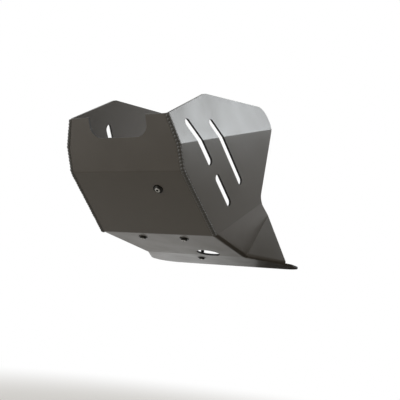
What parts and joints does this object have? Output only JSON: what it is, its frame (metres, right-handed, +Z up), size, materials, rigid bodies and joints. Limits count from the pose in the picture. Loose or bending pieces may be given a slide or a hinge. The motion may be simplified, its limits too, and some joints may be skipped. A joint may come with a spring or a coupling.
{
  "type": "motorcycle skid plate",
  "caption": "Folded and welded sheet metal guard for the underside and lower sides of a motorcycle engine, with slotted wings and its bolts.",
  "frame": {"origin": "under the middle of the part's box, at the level of the rear bolt's head underneath", "axes": "+Z up, +Y rearwards along the bike, +X to the rider's left"},
  "size_m": [0.2724, 0.4116, 0.2461],
  "materials": {
    "sheet": "satin hard anodised dark grey",
    "weld": "rough anodised weld bead",
    "bolt": "black coated"
  },
  "bodies": {
    "root": {"skid_plate": "sheet", "left_weld_bead": "weld", "right_weld_bead": "weld", "front_bolt": "bolt", "left_floor_bolt": "bolt", "right_floor_bolt": "bolt", "rear_bolt": "bolt"}
  },
  "joints": []
}
